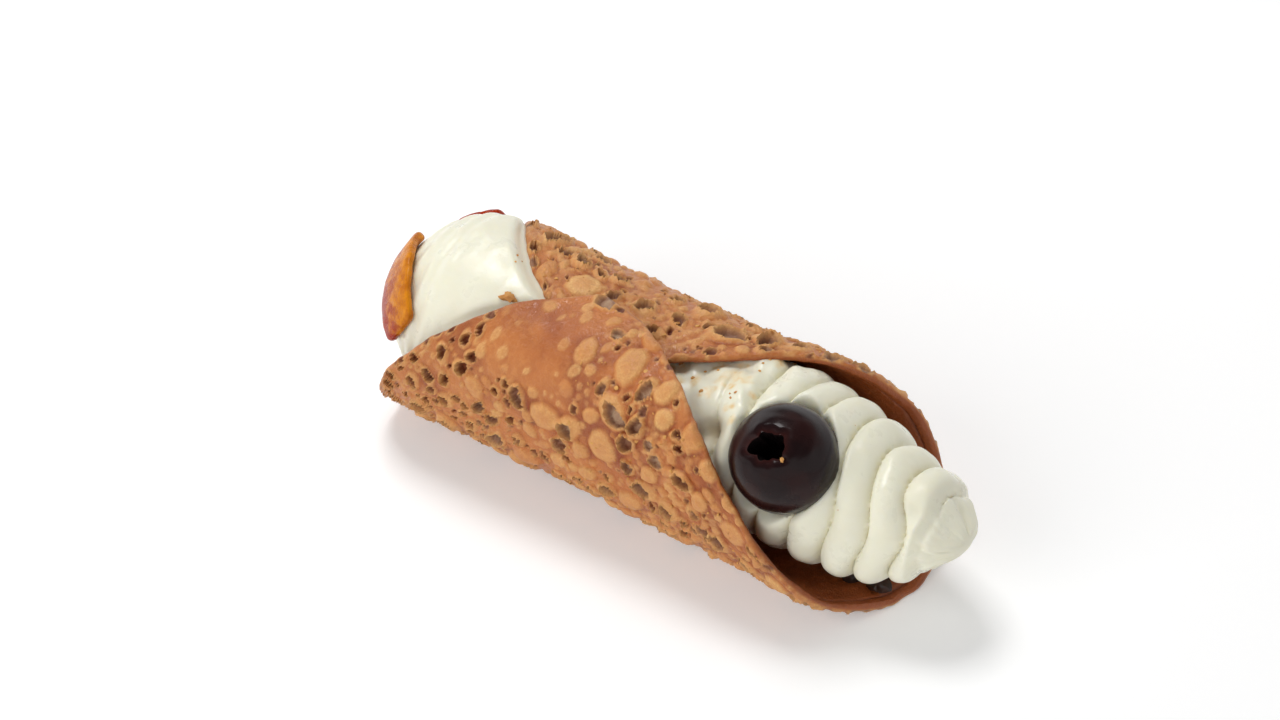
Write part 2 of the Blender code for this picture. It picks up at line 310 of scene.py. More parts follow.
def paint(piece, name, cells, *fields):
    """Stores up to four fields of the piece as one point colour attribute."""
    values = np.zeros((*cells, 4))
    for i, field in enumerate(fields):
        values[..., i] = field
    layer = piece.data.attributes.new(name, "FLOAT_COLOR", "POINT")
    layer.data.foreach_set("color", values.reshape(-1))


MERGE = 2e-6


def close_up(angle):
    """Merges the seams and poles of the piece just made, turns its faces outwards and smooths it."""
    bpy.ops.object.mode_set(mode="EDIT")
    bpy.ops.mesh.select_all(action="SELECT")
    bpy.ops.mesh.remove_doubles(threshold=MERGE)
    bpy.ops.mesh.dissolve_degenerate(threshold=MERGE)
    bpy.ops.mesh.normals_make_consistent(inside=False)
    bpy.ops.object.mode_set(mode="OBJECT")
    bpy.ops.object.shade_smooth_by_angle(angle=angle)


def make_flap(name, side, flap_reach):
    """Half of the sheet, from its lowest line round to one flap's cut edge and back along the inside."""
    width = flap_reach(row_x)[:, None]
    rim = np.minimum(RIM_CURVE, 0.3 * width)
    curl = 1.0 - np.sin(0.5 * pi * np.arange(1, RIM_COLUMNS + 1) / RIM_COLUMNS)
    outer = (width - rim) * np.linspace(0.0, 1.0, OUTER_COLUMNS)
    turned = width - rim * curl
    back = np.concatenate((turned[:, -2::-1], width - rim), 1)
    edge_band = np.minimum(INNER_EDGE, 0.4 * width)
    inner_edge = width - rim - edge_band * np.linspace(0.0, 1.0, INNER_EDGE_COLUMNS)[1:]
    inner = inner_edge[:, -1:] * np.linspace(1.0, 0.0, INNER_COLUMNS)[1:]
    across = np.concatenate((outer, turned, back, inner_edge, inner, outer[:, :1]), 1)
    face = np.ones(across.shape)
    face[:, OUTER_COLUMNS + RIM_COLUMNS - 1] = 0.0
    face[:, OUTER_COLUMNS + RIM_COLUMNS:-1] = -1.0
    x = np.broadcast_to(row_x[:, None], across.shape)
    s = side * across
    found = [edge_tree.find((a, b, 0.0)) for a, b in zip(x.reshape(-1), s.reshape(-1))]
    nearest = np.array([f[1] for f in found]).reshape(across.shape)
    from_edge = np.array([f[2] for f in found]).reshape(across.shape)
    wall = RIM_WALL + (WALL - RIM_WALL) * smooth(from_edge / RIM_REACH)
    rounded = np.sqrt(1.0 - (1.0 - np.minimum(from_edge / RIM_CURVE, 1.0)) ** 2)
    outside = np.maximum(sample(relief, x, s), -0.45 * wall) * smooth(0.15 + from_edge / 0.0016)
    groove = np.exp(-((from_edge - GROOVE_PLACE) / GROOVE_WIDTH) ** 2)
    inside = 0.00022 * sample(inner_waves, x, s) + GROOVE_RISE * groove
    offset = np.where(face > 0.0, 0.5 * wall * rounded + outside, -0.5 * wall * rounded + inside * rounded)
    offset = np.where(face == 0.0, 0.0, offset)
    flutter = edge_flutter[nearest] * (1.0 - smooth(from_edge / 0.007))
    shift = edge_wander[nearest] * (1.0 - smooth(from_edge / 0.0035))
    rest = FLAP_REST * (1.0 - smooth(from_edge / FLAP_REST_REACH))
    moved_x = x + shift * outward[nearest][..., 0]
    moved_s = s + shift * outward[nearest][..., 1]
    points = dough_point(moved_x, moved_s, offset + flutter, rest)
    column = np.arange(across.shape[1])
    half_share = 0.49 * across / FAR_REACH
    share = np.where(column < OUTER_COLUMNS + RIM_COLUMNS, half_share, 0.99 - half_share)
    share[:, -1] = 1.0
    length = (x - PEEL_END) / (CHERRY_END - PEEL_END)
    piece = grid_piece(name, points, np.stack((length, share), -1))
    on_outside = face > 0.0
    paint(piece, "crust_rise", across.shape, np.where(on_outside, 0.4 + outside / RISE_SHOWN, 0.4))
    paint(
        piece, "crust", across.shape,
        np.where(on_outside, sample(pale, x, s), 0.0),
        np.where(on_outside, sample(crumb, x, s), 0.0),
        # Painted shade: on the inside, the groove near the cut edge is painted dark.
        np.where(on_outside, sample(painted_pore_shade, x, s), 0.8 * groove),
        np.where(on_outside, 0.0, np.where(face == 0.0, 0.4, 1.0)),
    )
    close_up(radians(60))
    return piece


class Wire:
    """One output of a material's node, on which sums are written as in Python."""

    def __init__(self, finish, socket):
        self.finish = finish
        self.socket = socket

    def math(self, operation, *values):
        return self.finish.node("ShaderNodeMath", {"operation": operation}, dict(enumerate(values)))

    def __add__(self, other):
        return self.math("ADD", self, other)

    def __radd__(self, other):
        return self.math("ADD", other, self)

    def __sub__(self, other):
        return self.math("SUBTRACT", self, other)

    def __rsub__(self, other):
        return self.math("SUBTRACT", other, self)

    def __mul__(self, other):
        return self.math("MULTIPLY", self, other)

    def __rmul__(self, other):
        return self.math("MULTIPLY", other, self)

    def __pow__(self, other):
        return self.math("POWER", self, other)


class Finish:
    """A material built from one Principled shader, with the nodes that vary it."""

    def __init__(self, name, **constants):
        self.material = bpy.data.materials.new(name)
        self.material.use_nodes = True
        self.tree = self.material.node_tree
        self.shader = next(n for n in self.tree.nodes if n.type == "BSDF_PRINCIPLED")
        self.coordinate = self.node("ShaderNodeTexCoord", output="Object")
        for socket, value in constants.items():
            self.shader.inputs[socket.replace("_", " ")].default_value = value

    def node(self, kind, settings=None, sockets=None, output=0):
        made = self.tree.nodes.new(kind)
        for key, value in (settings or {}).items():
            setattr(made, key, value)
        for key, value in (sockets or {}).items():
            self.feed(made.inputs[key], value)
        return Wire(self, made.outputs[output])

    def feed(self, socket, value):
        if isinstance(value, Wire):
            self.tree.links.new(value.socket, socket)
        else:
            socket.default_value = value

    def noise(self, size, detail=2.0, rough=0.5, warp=0.0):
        """Noise whose cells are about size across."""
        sockets = {"Vector": self.coordinate, "Scale": 1.0 / size, "Detail": detail}
        sockets.update({"Roughness": rough, "Distortion": warp})
        return self.node("ShaderNodeTexNoise", None, sockets)

    def between(self, value, low, high):
        """0 below low, 1 above high and smooth between them."""
        sockets = {"Value": value, "From Min": low, "From Max": high}
        return self.node("ShaderNodeMapRange", {"interpolation_type": "SMOOTHSTEP"}, sockets)

    def mix(self, first, second, share):
        """A colour between two colours."""
        colours = [c if isinstance(c, Wire) else (*c, 1.0) for c in (first, second)]
        sockets = {0: share, 6: colours[0], 7: colours[1]}
        return self.node("ShaderNodeMix", {"data_type": "RGBA"}, sockets, 2)

    def painted(self, name):
        """The four fields of a point colour attribute."""
        made = self.node("ShaderNodeAttribute", {"attribute_name": name}, None, "Color")
        parts = self.node("ShaderNodeSeparateColor", None, {0: made})
        node = parts.socket.node
        alpha = Wire(self, made.socket.node.outputs["Alpha"])
        return [Wire(self, node.outputs[i]) for i in range(3)] + [alpha]

    def bump(self, height, strength, distance):
        sockets = {"Height": height, "Strength": strength, "Distance": distance}
        normal = self.node("ShaderNodeBump", None, sockets)
        self.feed(self.shader.inputs["Normal"], normal)

    def set(self, **sockets):
        for socket, value in sockets.items():
            self.feed(self.shader.inputs[socket.replace("_", " ")], value)


CARAMEL = (0.510, 0.158, 0.036)
CARAMEL_DEEP = (0.300, 0.062, 0.013)
CARAMEL_GOLD = (0.660, 0.275, 0.070)
BLISTER_SKIN = (0.850, 0.530, 0.200)
BROKEN_CRUMB = (0.560, 0.410, 0.265)
PORE_SHADE_BROWN = (0.130, 0.023, 0.007)
INNER_WALL = (0.330, 0.078, 0.020)

fried = Finish("fried_dough", Specular_IOR_Level=0.5)
skin_pale, broken, pore_shade_share, inner_side = fried.painted("crust")
cloud = fried.between(fried.noise(0.012, 3.0), 0.34, 0.66)
freckle = fried.between(fried.noise(0.0011, 4.0, 0.6), 0.42, 0.68)
speck = fried.between(fried.noise(0.00045, 3.0, 0.6), 0.45, 0.70)
risen = fried.painted("crust_rise")[0]
high = fried.between(risen, 0.10, 0.85)
colour = fried.mix(CARAMEL_DEEP, CARAMEL, fried.between(0.45 * cloud + 0.75 * high, 0.05, 0.75))
colour = fried.mix(colour, CARAMEL_GOLD, high * (0.25 + 0.55 * freckle))
colour = fried.mix(colour, INNER_WALL, inner_side * (0.75 + 0.25 * cloud))
colour = fried.mix(colour, BLISTER_SKIN, skin_pale * (0.55 + 0.45 * speck))
colour = fried.mix(colour, BROKEN_CRUMB, broken * (0.70 + 0.30 * freckle))
# Painted shade, darkest brown, in pores, crevices, burst holes and the inner groove.
colour = fried.mix(colour, PORE_SHADE_BROWN, pore_shade_share * (0.85 + 0.15 * speck))
gloss = 0.34 + 0.18 * skin_pale + 0.14 * speck + 0.15 * broken
fried.set(Base_Color=colour, Roughness=gloss)
fried.bump(0.6 * freckle + 0.4 * speck, 0.60, 0.00026)

near_flap = make_flap("shell_near", 1.0, near_reach)
far_flap = make_flap("shell_far", -1.0, far_reach)
for flap in (near_flap, far_flap):
    flap.data.materials.append(fried.material)
    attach(flap, "root")
    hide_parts("shell")

# The cream.
# Whipped ricotta cream piped through the tube from both ends: a smooth dome at the peel end, and at the
# cherry end a thick rope wound into seven turns and pulled off into a tail. It is smeared by the mouth.

CREAM_RADIUS = 0.0183
CREAM_RISE = 0.0028
DOME_CENTRE = -0.0400
DOME_RADIUS = 0.0203
DOME_RISE = 0.0035
WALL_ROOM = 0.0027
RIM_BLEND = 0.0060
RIM_SWELL = 0.0045
SOFT_MEETING = 0.0010
ROPE_START = 0.0230
ROPE_PITCH = 0.0072
ROPE_TURNS = 7
ROPE_DEPTH = 0.0028
ROPE_END = ROPE_START + ROPE_TURNS * ROPE_PITCH
TAPER_START = 0.0380
TAPER_END = 0.0630
TAPER_RADIUS = 0.0114
TAIL_LENGTH = 0.0064
TAIL_RADIUS = 0.0088
TAIL_RISE = 0.0014
CREAM_STEP = 0.00030
CREAM_SPOKES = 240
CHERRY_RADIUS = 0.0114
CHERRY_PLACE = np.array((0.0436, -0.0120, 0.0140))
ROUND_ANGLE = radians(70)

cream_length = ROPE_END + TAIL_LENGTH + DOME_RADIUS - DOME_CENTRE
cream_x = DOME_CENTRE - DOME_RADIUS + CREAM_STEP * np.arange(int(cream_length / CREAM_STEP) + 1)
cream_x[-1] = ROPE_END + TAIL_LENGTH
x = cream_x[:, None]
angle = tau * np.arange(CREAM_SPOKES + 1)[None, :] / CREAM_SPOKES
cream_cells = (len(cream_x), CREAM_SPOKES + 1)
seam_fade = smooth(np.minimum(angle, tau - angle) / 0.6)
SPOKE_MM = 1000 * CREAM_RADIUS * tau / CREAM_SPOKES


def cream_waves(size):
    """Noise over the cream's surface whose knots lie about size apart, in millimetres."""
    along = size * 0.001 / CREAM_STEP
    knot_count = (int(cream_cells[0] / along) + 2, int(cream_cells[1] * SPOKE_MM / size) + 2)
    knots = rng.uniform(-1.0, 1.0, knot_count)
    place = (np.arange(cream_cells[0]) / along, np.arange(cream_cells[1]) * SPOKE_MM / size)
    low = [p.astype(int) for p in place]
    part = [smooth(p - l) for p, l in zip(place, low)]
    rows = knots[low[0]] * (1.0 - part[0][:, None]) + knots[low[0] + 1] * part[0][:, None]
    return (rows[:, low[1]] * (1.0 - part[1]) + rows[:, low[1] + 1] * part[1]) * seam_fade


dome_part = DOME_RADIUS * np.sqrt(np.clip(1.0 - ((DOME_CENTRE - x) / DOME_RADIUS) ** 2, 0.0, 1.0))
core_part = DOME_RADIUS + (CREAM_RADIUS - DOME_RADIUS) * smooth((x - DOME_CENTRE) / TAPER_START)
tapered = np.clip((x - TAPER_START) / (ROPE_END - TAPER_START), 0.0, 1.0)
taper_part = CREAM_RADIUS + (TAPER_RADIUS - CREAM_RADIUS) * tapered ** 1.7
along_tail = np.clip((x - ROPE_END) / TAIL_LENGTH, 0.0, 1.0)
tail_part = TAIL_RADIUS * np.sqrt(np.clip(1.0 - along_tail ** 1.4, 0.0, 1.0))
crest = np.where(x < DOME_CENTRE, dome_part, np.where(x < TAPER_START, core_part, taper_part))
tail_blend = smooth((x - ROPE_END + 0.0012) / 0.0024)
crest = crest * (1.0 - tail_blend) + tail_part * tail_blend

# The wound rope: round turns with sharp creases between them, each turn a little off the last.
ROPE_LEAN = 0.0048
LEAN_MIDDLE = radians(112)
LEAN_SPREAD = radians(44)
lean_here = ROPE_LEAN * np.exp(-((angle - LEAN_MIDDLE) / LEAN_SPREAD) ** 2)
rope_x = x + 0.0007 * cream_waves(16.0) - lean_here
turn_number = (rope_x - ROPE_START) / ROPE_PITCH
in_rope = smooth((x - ROPE_START + 0.002) / 0.009) * (1.0 - smooth((x - ROPE_END + 0.0005) / 0.002))
across_turn = 2.0 * (turn_number % 1.0) - 1.0
crease = 1.0 - np.sqrt(np.clip(1.0 - across_turn ** 2, 0.0, 1.0))
turn_size = rng.uniform(-0.0004, 0.0004, ROPE_TURNS + 4)
turn_index = np.clip(turn_number.astype(int) + 1, 0, ROPE_TURNS + 3)
# Each turn bulges a little low on its near side, and shrinks away underneath.
LOW_BULGE = 0.0009
UNDER_SHRINK = 0.0022
low_end = LOW_BULGE * np.exp(-((angle - radians(70)) / radians(16)) ** 2)
under = np.minimum(angle, tau - angle)
shrunk = smooth((radians(54) - under) / radians(24)) * smooth((x - 0.040) / 0.010)
low_end = low_end - UNDER_SHRINK * shrunk
rope_drop = (ROPE_DEPTH * crease - (turn_size[turn_index] + low_end) * (1.0 - crease)) * in_rope

# The smear by the mouth: lumps, and ridges left by the tip of the bag.
smear = smooth((x - 0.002) / 0.008) * (1.0 - smooth((x - 0.030) / 0.010))
ridges = np.sin(tau * (x * 0.85 + CREAM_RADIUS * angle * 0.55) / 0.0042 + 2.2 * cream_waves(7.0))
smear_lumps = 0.0010 * cream_waves(6.5) + 0.00045 * cream_waves(2.8) + 0.00016 * ridges
dome_ridges = 0.00022 * np.sin(tau * x / 0.0034 + 1.6 * cream_waves(9.0))
dome_ridges = dome_ridges * (1.0 - smooth((x + 0.046) / 0.006))
lumps = 0.00028 * cream_waves(6.0) + 0.00010 * cream_waves(2.2) + smear * smear_lumps + dome_ridges
in_tail = smooth((x - ROPE_END + 0.002) / 0.0045)
torn = in_tail * (0.0007 * cream_waves(5.0) + 0.00025 * cream_waves(2.0))
end_fade = smooth((x - cream_x[0]) / 0.004) * smooth((cream_x[-1] - x) / 0.0012)
HOLLOW_PLACE = (0.0270, radians(131))
HOLLOW_SIZE = 0.0030
HOLLOW_DEPTH = 0.0016
hollow_side = CREAM_RADIUS * (angle - HOLLOW_PLACE[1])
hollow = np.exp(-((x - HOLLOW_PLACE[0]) ** 2 + hollow_side ** 2) / HOLLOW_SIZE ** 2)
TAIL_HOLLOW_PLACE = (0.0715, radians(140))
TAIL_HOLLOW_SIZE = 0.0032
TAIL_HOLLOW_DEPTH = 0.0022
tail_side = TAPER_RADIUS * (angle - TAIL_HOLLOW_PLACE[1])
tail_hollow = np.exp(-((x - TAIL_HOLLOW_PLACE[0]) ** 2 + tail_side ** 2) / TAIL_HOLLOW_SIZE ** 2)
radius = crest - rope_drop + (lumps + torn) * end_fade
radius = radius - HOLLOW_DEPTH * hollow - TAIL_HOLLOW_DEPTH * tail_hollow
radius = np.maximum(radius, 0.0)

settles = smooth((x - TAPER_START) / (TAPER_END - TAPER_START))
core_rise = CREAM_RISE * (smooth(x / ROPE_START - 0.5) - settles)
tail_rise = TAIL_RISE * smooth((x - TAPER_END) / (ROPE_END - TAPER_END))
cream_middle = DOME_RISE * smooth(x / DOME_CENTRE) + core_rise + tail_rise
side_way = -np.sin(angle)
up_way = -np.cos(angle)

# Where the dough backs the cream, the cream keeps inside the wrapped wall.
up = cream_middle + radius * up_way
round_up = up / TUBE_SQUASH - (tube_radius(x) - TUBE_RADIUS)
seen_angle = np.arctan2(-radius * side_way, -up) % tau
near_cover = near_reach(x) - (seen_angle - BASE_TURN) * tube_radius(x)
far_cover = far_reach(x) - (tau - seen_angle + BASE_TURN) * tube_radius(x)
cover = np.maximum(near_cover, far_cover)
room = tube_radius(x) - WALL_ROOM * smooth(cover / RIM_BLEND) + RIM_SWELL * smooth(-cover / RIM_BLEND)
used = np.maximum(np.hypot(radius * side_way, round_up), 1e-6)
over = np.clip(0.5 + 0.5 * (used - room) / SOFT_MEETING, 0.0, 1.0)
limited = used * (1.0 - over) + room * over - SOFT_MEETING * over * (1.0 - over)
radius = radius * np.clip(limited / used, 0.0, 1.0)
# The cherry presses its own seat, and the cream swells a little round it.
SEAT = CHERRY_RADIUS - 0.0006
to_cherry = (CHERRY_PLACE[0] - x, CHERRY_PLACE[1], CHERRY_PLACE[2] - cream_middle)
nearest_way = to_cherry[1] * side_way + to_cherry[2] * up_way
apart = to_cherry[0] ** 2 + to_cherry[1] ** 2 + to_cherry[2] ** 2 - nearest_way ** 2
from_seat = np.sqrt(np.maximum(apart, 0.0)) - SEAT
swell = 0.0010 * np.exp(-((from_seat - 0.0014) / 0.0016) ** 2) * (nearest_way > 0.0)
seat_floor = nearest_way - np.sqrt(np.maximum(SEAT ** 2 - apart, 0.0))
pressed = (apart < SEAT ** 2) & (nearest_way > 0.0)
beside = np.sqrt(np.maximum(apart - SEAT ** 2, 0.0))
bowl = np.where(nearest_way > 0.0, nearest_way + 0.0003 + 1.4 * beside, 1.0)
radius = np.where(pressed, np.minimum(radius, seat_floor), np.minimum(radius + swell, bowl))
flat = 1.0 - 0.38 * smooth((x - ROPE_END + 0.002) / TAIL_LENGTH)
wide = 1.0 + 0.10 * in_tail
cream_side = radius * side_way * wide
cream_height = cream_middle + radius * up_way * flat
cream_points = np.stack(np.broadcast_arrays(x, cream_side, cream_height), -1) + PLACE
cream_points[:, -1] = cream_points[:, 0]
cream_points[0] = cream_points[0].mean(0)
cream_points[-1] = cream_points[-1].mean(0)

# Fried crumbs have soaked gold into the smear near the shell's edge.
SOAKED_SPOTS = 34
soaked = np.zeros(cream_cells)
for _ in range(SOAKED_SPOTS):
    spot = (rng.uniform(0.006, 0.033), radians(rng.uniform(140, 210)), rng.uniform(0.0008, 0.0022))
    away = np.hypot(x - spot[0], CREAM_RADIUS * (angle - spot[1])) / spot[2]
    soaked = np.maximum(soaked, smooth(1.25 - away + 0.45 * cream_waves(1.3)))
# Deep in the tube, where the cream can't be seen, only one row in five is kept.
TUBE_HIDES = (-0.0180, -0.0020)
HIDDEN_ROWS = 5
in_tube = (cream_x > TUBE_HIDES[0]) & (cream_x < TUBE_HIDES[1])
hidden = in_tube & (np.arange(len(cream_x)) % HIDDEN_ROWS != 0)
rows = np.nonzero(~hidden)[0]
turn_share = np.broadcast_to(angle / tau, cream_cells)[rows]
length_share = np.broadcast_to(np.linspace(0.0, 1.0, len(rows))[:, None], turn_share.shape)
cream = grid_piece("piped_cream", cream_points[rows], np.stack((length_share, turn_share), -1))
# Painted shade in the rope's creases and in the hollow, and the soaked gold, are stored for the cream's
# colour.
paint(cream, "cream_shade_and_soak", turn_share.shape, (crease * in_rope)[rows], soaked[rows], hollow[rows])
close_up(ROUND_ANGLE)

CREAM_WHITE = (0.840, 0.820, 0.670)
CREAM_SHADE = (0.750, 0.670, 0.420)
SOAKED_GOLD = (0.800, 0.560, 0.230)
HOLLOW_SHADE_BEIGE = (0.740, 0.640, 0.440)
whipped = Finish("whipped_cream", Specular_IOR_Level=0.45, Subsurface_Weight=0.25, Subsurface_Scale=0.004)
whipped.shader.inputs["Subsurface Radius"].default_value = (1.0, 0.85, 0.55)
creases, soak, hollow_shade, _ = whipped.painted("cream_shade_and_soak")
curd = whipped.between(whipped.noise(0.0016, 3.0), 0.40, 0.70)
patch = whipped.between(whipped.noise(0.0060, 2.0), 0.35, 0.70)
colour = whipped.mix(CREAM_WHITE, CREAM_SHADE, 0.10 * patch + 0.45 * creases ** 3.0)
# Painted shade: the hollow left of the cherry is painted beige.
colour = whipped.mix(colour, HOLLOW_SHADE_BEIGE, 0.7 * hollow_shade)
colour = whipped.mix(colour, SOAKED_GOLD, soak * (0.35 + 0.65 * curd))
whipped.set(Base_Color=colour, Roughness=0.26 + 0.16 * patch + 0.06 * curd)
whipped.bump(0.7 * curd + 0.3 * patch, 0.12, 0.00030)
cream.data.materials.append(whipped.material)
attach(cream, "root")
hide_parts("cream")

# The cherry.
# A whole candied cherry, almost black in its syrup, pressed into the rope. Its stone was punched out, which
# left a ragged hole, torn further on one side.

PIT_TURN = (radians(40), radians(-84))
PIT_RADIUS = 0.0034
PIT_DEPTH = 0.0085
CHERRY_COLUMNS = 200
SKIN_ROWS = 130
PIT_ROWS = 25
lean, turn = PIT_TURN
pit_axis = np.array((sin(lean) * cos(turn), sin(lean) * sin(turn), cos(lean)))
first_way = np.cross(pit_axis, (0.0, 0.0, 1.0))
first_way /= np.linalg.norm(first_way)
second_way = np.cross(pit_axis, first_way)
round_it = tau * np.arange(CHERRY_COLUMNS + 1)[None, :] / CHERRY_COLUMNS
tear = 0.34 * np.exp(-((np.angle(np.exp(1j * (round_it - radians(25)))) / 0.32) ** 2))
hole = 1.0 + 0.12 * np.sin(2 * round_it + 1.0) + 0.07 * np.sin(5 * round_it)
hole = hole + 0.05 * np.sin(9 * round_it + 2.0) + tear
hole_radius = PIT_RADIUS * hole
lip_angle = np.arcsin(hole_radius / CHERRY_RADIUS)
down = np.linspace(0.0, 1.0, SKIN_ROWS)[:, None]
polar = lip_angle + (pi - lip_angle) * down ** 1.15
pucker = 0.00060 * np.exp(-((polar - lip_angle) / 0.10) ** 2)
pucker = pucker - 0.00005 * np.exp(-((polar - lip_angle - 0.16) / 0.08) ** 2)
SKIN_CELLS = (SKIN_ROWS, CHERRY_COLUMNS + 1)
skin_fade = smooth(np.minimum(round_it, tau - round_it) / 0.5)
skin_waves = (0.00022 * wander(SKIN_CELLS, 26) + 0.00007 * wander(SKIN_CELLS, 9)) * skin_fade
skin_radius = CHERRY_RADIUS - 0.00025 - pucker + skin_waves * smooth((pi - polar) / 0.4)
skin = np.stack((skin_radius * np.sin(polar), skin_radius * np.cos(polar)), -1)
sink = np.linspace(1.0, 0.0, PIT_ROWS + 1)[1:, None]
pit_waves = 0.0003 * wander((PIT_ROWS, CHERRY_COLUMNS + 1), 6) * skin_fade
wall_out = hole_radius * (0.42 + 0.50 * (1.0 - sink) ** 0.5) + pit_waves
wall_down = skin[0, :, 1] - 0.0004 - PIT_DEPTH * sink ** 1.2
floor_out = hole_radius * 0.40 * np.linspace(0.0, 1.0, 6)[:-1, None]
floor_down = np.broadcast_to(wall_down[:1] - 0.0002, floor_out.shape)
pit = np.stack((np.concatenate((floor_out, wall_out)), np.concatenate((floor_down, wall_down))), -1)
profile = np.concatenate((pit, skin))
ways = np.cos(round_it)[..., None] * first_way + np.sin(round_it)[..., None] * second_way
cherry_points = CHERRY_PLACE + PLACE + profile[..., :1] * ways + profile[..., 1:] * pit_axis
cherry_points[:, -1] = cherry_points[:, 0]
cherry_points[0] = cherry_points[0].mean(0)
cherry_points[-1] = cherry_points[-1].mean(0)
cherry_cells = (len(profile), CHERRY_COLUMNS + 1)
cherry_row = np.arange(cherry_cells[0])[:, None]
share = np.linspace(0.0, 1.0, cherry_cells[0])[:, None]
cherry = grid_piece("whole_cherry", cherry_points, np.stack(np.broadcast_arrays(round_it / tau, share), -1))
lip_mark = np.exp(-((cherry_row - len(pit)) / 5.0) ** 2)
paint(cherry, "flesh", cherry_cells, cherry_row < len(pit), lip_mark)
close_up(ROUND_ANGLE)

SKIN_BLACK = (0.0110, 0.0042, 0.0045)
SKIN_RED = (0.0420, 0.0080, 0.0060)
PIT_SHADE_BLACK = (0.0040, 0.0016, 0.0016)
candied = Finish("candied_cherry", Specular_IOR_Level=0.14, Coat_Weight=0.08, Coat_Roughness=0.08)
in_hole, at_lip, _, _ = candied.painted("flesh")
blush = candied.between(candied.noise(0.0070, 2.0), 0.40, 0.75)
fine = candied.noise(0.0009, 3.0)
colour = candied.mix(SKIN_BLACK, SKIN_RED, 0.40 * blush + 0.5 * at_lip)
# Painted shade: the pit hole is painted darker than the skin.
colour = candied.mix(colour, PIT_SHADE_BLACK, in_hole)
candied.set(Base_Color=colour, Roughness=0.20 + 0.16 * blush + 0.45 * in_hole)
candied.bump(fine, 0.10, 0.00020)
cherry.data.materials.append(candied.material)
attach(cherry, "root")
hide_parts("cherry")

# The candied peel.
# Two strips cut from candied orange peel and laid over the dome. The sugar has turned them sticky, deep red
# along one edge and orange along the other.

PEEL_THICK = 0.0025
PEEL_FLATNESS = 0.35
PEEL_ROWS = 72
PEEL_COLUMNS = 64


def make_peel(name, start, end, width, tip):
    """A strip over the dome from one direction to another, narrowing to tip of its width at its end."""
    start = Vector(start).normalized()
    end = Vector(end).normalized()
    across = np.array(start.cross(end).normalized())
    along = np.linspace(0.0, 1.0, PEEL_ROWS)
    ways = np.array([start.slerp(end, t) for t in along])[:, None, :]
    turn = tau * np.arange(PEEL_COLUMNS + 1)[None, :] / PEEL_COLUMNS
    side = np.sign(np.cos(turn)) * np.abs(np.cos(turn)) ** 0.42
    level = np.sign(np.sin(turn)) * np.abs(np.sin(turn)) ** 0.55
    cells = (PEEL_ROWS, PEEL_COLUMNS + 1)
    fade = smooth(np.minimum(turn, tau - turn) / 0.5)
    t = along[:, None]
    rounding = np.sqrt(1.0 - (1.0 - np.minimum(np.minimum(t, 1.0 - t) / 0.07, 1.0)) ** 2)
    narrow = (1.0 - (1.0 - tip) * smooth((t - 0.55) / 0.45)) * (0.86 + 0.14 * smooth(t / 0.25))
    narrow = narrow * (1.0 + 0.05 * wander((PEEL_ROWS, 1), 14) + 0.02 * wander((PEEL_ROWS, 1), 4))
    tilt = side * narrow * (0.35 + 0.65 * rounding) * 0.5 * width / DOME_RADIUS
    base = ways * np.cos(tilt)[..., None] + across * np.sin(tilt)[..., None]
    stiff = PEEL_FLATNESS * DOME_RADIUS * (1.0 / np.cos(tilt) - 1.0)
    bumps = (0.00016 * wander(cells, 10) + 0.00006 * wander(cells, 4)) * fade
    height = (0.5 + 0.46 * level * rounding) * PEEL_THICK + stiff + bumps * rounding
    centre = np.array((DOME_CENTRE, 0.0, DOME_RISE)) + PLACE
    points = centre + base * (DOME_RADIUS + height)[..., None]
    points[:, -1] = points[:, 0]
    points[0] = points[0].mean(0)
    points[-1] = points[-1].mean(0)
    uv = np.stack(np.broadcast_arrays(t, turn / tau), -1)
    piece = grid_piece(name, points, uv)
    paint(piece, "peel_marks", cells, 0.5 + 0.5 * side)
    close_up(ROUND_ANGLE)
    return piece


PEEL_RED = (0.400, 0.034, 0.003)
PEEL_ORANGE = (0.680, 0.240, 0.010)
PEEL_DEEP = (0.240, 0.010, 0.002)
sugared = Finish("candied_peel", Specular_IOR_Level=0.12, Coat_Weight=0.06, Coat_Roughness=0.15)
red_side = sugared.painted("peel_marks")[0]
fibre = sugared.between(sugared.noise(0.0022, 4.0, 0.6), 0.36, 0.68)
oil = sugared.between(sugared.noise(0.0007, 2.0), 0.40, 0.65)
colour = sugared.mix(PEEL_RED, PEEL_ORANGE, sugared.between(1.0 - red_side + 0.35 * fibre, 0.30, 1.00))
colour = sugared.mix(colour, PEEL_DEEP, 0.45 * (1.0 - fibre))
sugared.set(Base_Color=colour, Roughness=0.24 + 0.18 * oil)
sugared.bump(0.6 * fibre + 0.4 * oil, 0.30, 0.00022)
END_PEEL = ((-0.37, -0.91, 0.17), (-0.85, 0.0, 0.53), 0.0134, 0.35)
FAR_PEEL = ((-0.42, 0.82, 0.42), (-0.88, 0.44, 0.14), 0.0085, 0.60)
for name, (start, end, width, tip) in (("peel_end", END_PEEL), ("peel_far", FAR_PEEL)):
    strip = make_peel("strip_" + name, start, end, width, tip)
    strip.data.materials.append(sugared.material)
    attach(strip, "root")
    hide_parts(name)

# Crumbs and chocolate.
# Bits of the fried shell that broke off and stuck to the cream, the cherry and the shell, and a few chips of
# dark chocolate that fell under the rope at the lip. Each kind is one piece at true size.


